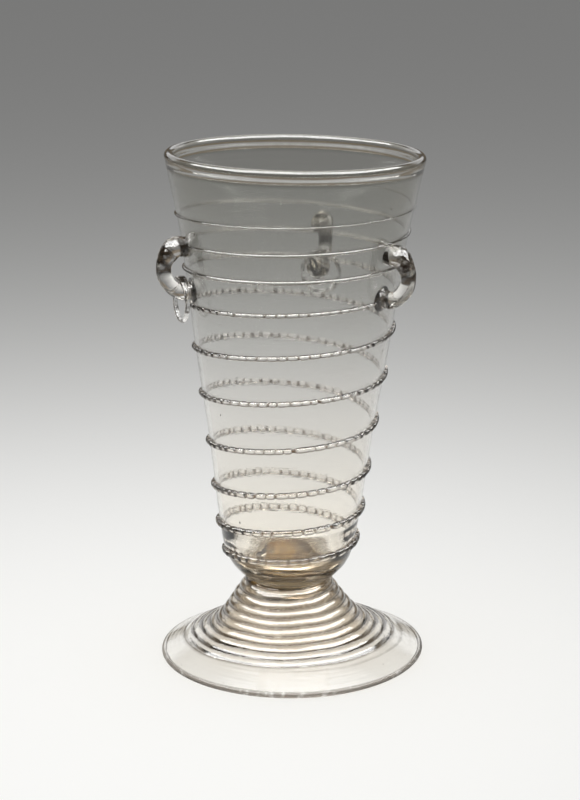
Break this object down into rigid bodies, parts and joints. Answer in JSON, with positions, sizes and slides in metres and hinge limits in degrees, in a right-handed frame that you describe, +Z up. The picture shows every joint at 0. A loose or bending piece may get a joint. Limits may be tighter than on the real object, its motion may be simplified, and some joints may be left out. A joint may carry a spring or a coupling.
{
  "type": "pass glass",
  "caption": "Tall flared drinking glass on a hollow wound foot, with a spiral thread round the wall, loop handles and loose hanging rings.",
  "frame": {"origin": "centre of the foot, on the surface it stands on", "axes": "+Z up along the glass; -Y faces the wide side between the left and the right handle"},
  "size_m": [0.1102, 0.1103, 0.2128],
  "materials": {
    "bowl_glass": "clear blown glass, faintly warm grey, fire-polished, with seeds and drawn lines",
    "thread_glass": "clear trailed glass, nicked along its lower turns",
    "wad_glass": "thick clear glass, brown in its depth",
    "foot_glass": "clear wound glass, brown in the grooves between the turns",
    "handle_glass": "clear tooled glass, crimped at the head",
    "ring_glass": "clear drawn glass"
  },
  "bodies": {
    "glass": {"bowl": "bowl_glass", "trail_thread": "thread_glass", "neck_wad": "wad_glass", "foot": "foot_glass", "handle_back": "handle_glass", "handle_left": "handle_glass", "handle_right": "handle_glass"},
    "ring_back": {"ring_back": "ring_glass"},
    "ring_left": {"ring_left": "ring_glass"}
  },
  "joints": [
    {"name": "ring_back_swing", "type": "hinge", "parent": "glass", "child": "ring_back", "pos_m": [0.01501, 0.04519, 0.15747], "axis": [0.309, 0.9511, 0], "range_deg": [-90, 90]},
    {"name": "ring_left_swing", "type": "hinge", "parent": "glass", "child": "ring_left", "pos_m": [-0.04514, -0.01392, 0.15839], "axis": [-0.9563, -0.2924, 0], "range_deg": [-90, 90]}
  ]
}
